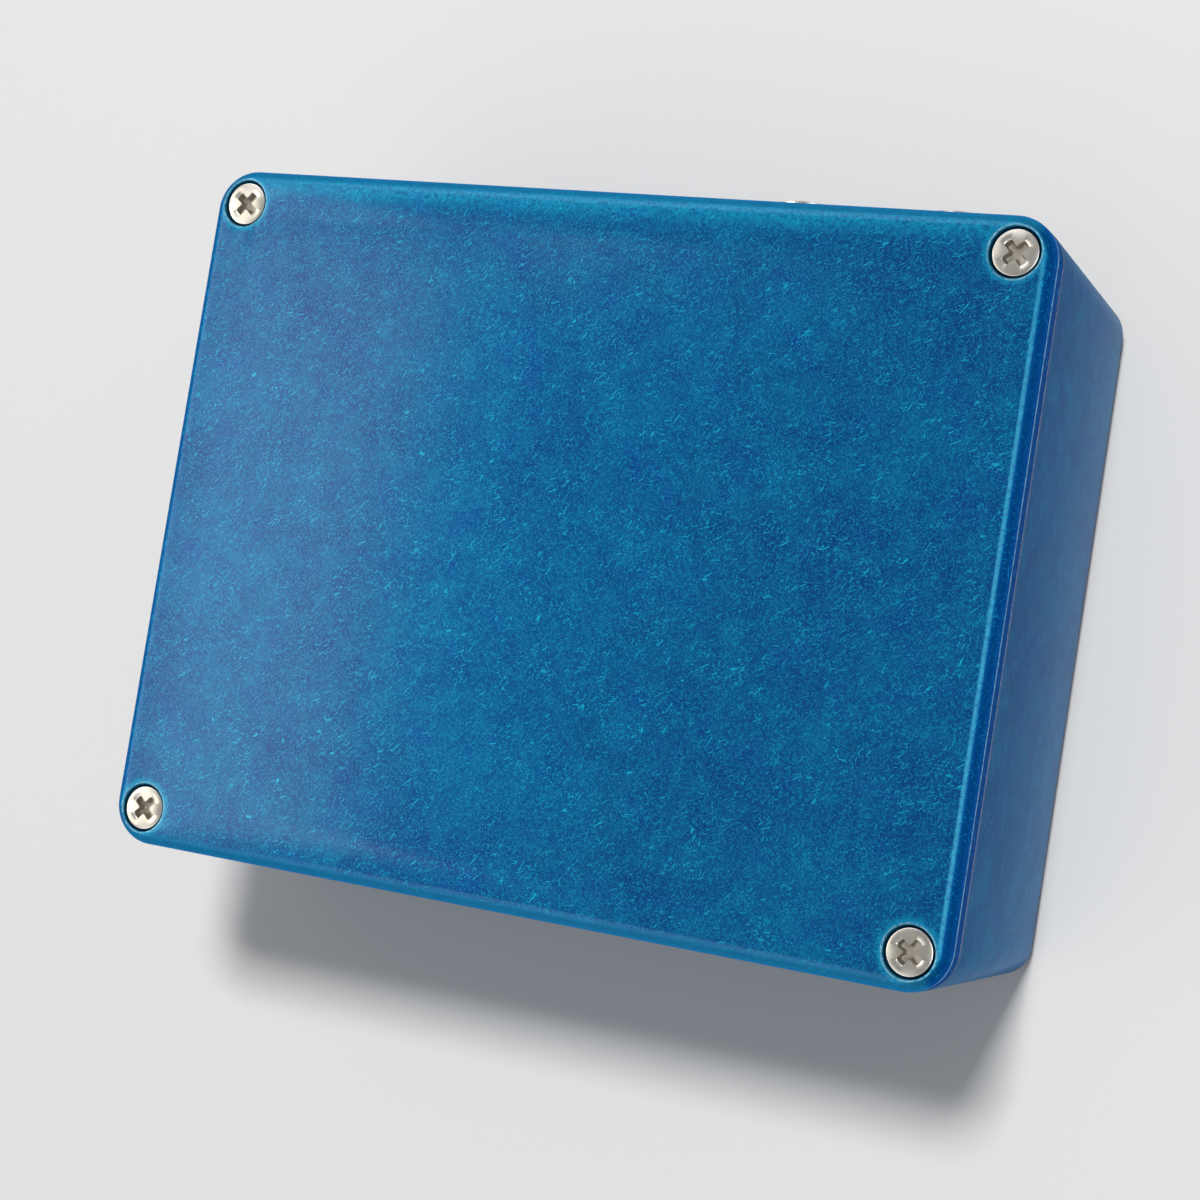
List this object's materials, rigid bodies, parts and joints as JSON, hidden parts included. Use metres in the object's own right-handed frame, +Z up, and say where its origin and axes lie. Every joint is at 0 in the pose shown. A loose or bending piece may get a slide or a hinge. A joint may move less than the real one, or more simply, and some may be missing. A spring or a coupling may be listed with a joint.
{
  "type": "single board computer",
  "caption": "Single board computer in a drafted die-cast aluminium box with a screwed cover, side sockets, a power jack and a power button.",
  "frame": {"origin": "centre of the closed face that the box rests on", "axes": "+Z up, out of the cover; +X along the long side; +Y out of the wall that holds the power jack and the power button"},
  "size_m": [0.1194, 0.0983, 0.046],
  "materials": {
    "blue_casting": "translucent blue lacquer over tumbled die-cast aluminium, satin, with bright scratches",
    "steel": "bright nickel-plated steel",
    "brass": "turned brass",
    "aluminium": "plain aluminium",
    "tinplate": "bright tinned sheet",
    "board": "green solder mask",
    "black_plastic": "matt black moulding",
    "white_plastic": "natural nylon",
    "grey_pad": "soft silicone pad",
    "red_lead": "plastic insulation",
    "black_lead": "plastic insulation"
  },
  "bodies": {
    "case": {"battery_holder": "black_plastic", "board_screw_1": "steel", "board_screw_2": "steel", "board_screw_3": "steel", "board_screw_4": "steel", "board_standoff_1": "brass", "board_standoff_2": "brass", "board_standoff_3": "brass", "board_standoff_4": "brass", "bulk_capacitor": "aluminium", "button_lead": "black_lead", "button_plug": "white_plastic", "card_socket": "tinplate", "case_body": "blue_casting", "circuit_board": "board", "clock_battery": "steel", "ethernet_shield": "tinplate", "ethernet_socket": "black_plastic", "foot_screw_1": "steel", "foot_screw_2": "steel", "foot_screw_3": "steel", "foot_screw_4": "steel", "heat_sink": "aluminium", "memory_chip": "black_plastic", "network_chip": "black_plastic", "pin_header": "black_plastic", "power_button_bushing": "steel", "power_button_contacts": "black_plastic", "power_button_nut": "steel", "power_button_spring": "steel", "power_button_tab_1": "brass", "power_button_tab_2": "brass", "power_chip": "black_plastic", "power_inductor": "black_plastic", "power_jack_bushing": "steel", "power_jack_insulator": "black_plastic", "power_jack_nut": "steel", "power_jack_pin": "steel", "power_jack_tab": "brass", "power_jack_washer": "steel", "power_lead": "red_lead", "power_plug": "white_plastic", "processor": "black_plastic", "reset_dome": "steel", "reset_switch": "black_plastic", "thermal_pad": "grey_pad", "usb_chip": "black_plastic", "usb_shield": "tinplate", "usb_socket": "black_plastic", "video_shield": "tinplate", "video_socket": "black_plastic"},
    "cover": {"cover": "blue_casting", "cover_screw_1": "steel", "cover_screw_2": "steel", "cover_screw_3": "steel", "cover_screw_4": "steel"},
    "memory_card": {"memory_card": "black_plastic"},
    "reset_plunger": {"reset_plunger": "white_plastic"},
    "power_button_cap": {"power_button_cap": "steel"}
  },
  "joints": [
    {"name": "cover_lift", "type": "slide", "parent": "case", "child": "cover", "axis": [0, 0, 1], "range_m": [0, 0.06]},
    {"name": "memory_card_draw", "type": "slide", "parent": "case", "child": "memory_card", "axis": [1, 0, 0], "range_m": [0, 0.0155]},
    {"name": "reset_press", "type": "slide", "parent": "case", "child": "reset_plunger", "axis": [0, 0, -1], "range_m": [0, 0.0003], "stiffness_N_per_m": 2000},
    {"name": "power_button_press", "type": "slide", "parent": "case", "child": "power_button_cap", "axis": [0, -1, 0], "range_m": [0, 0.0019], "stiffness_N_per_m": 1200, "deforming": ["power_button_spring"]}
  ]
}
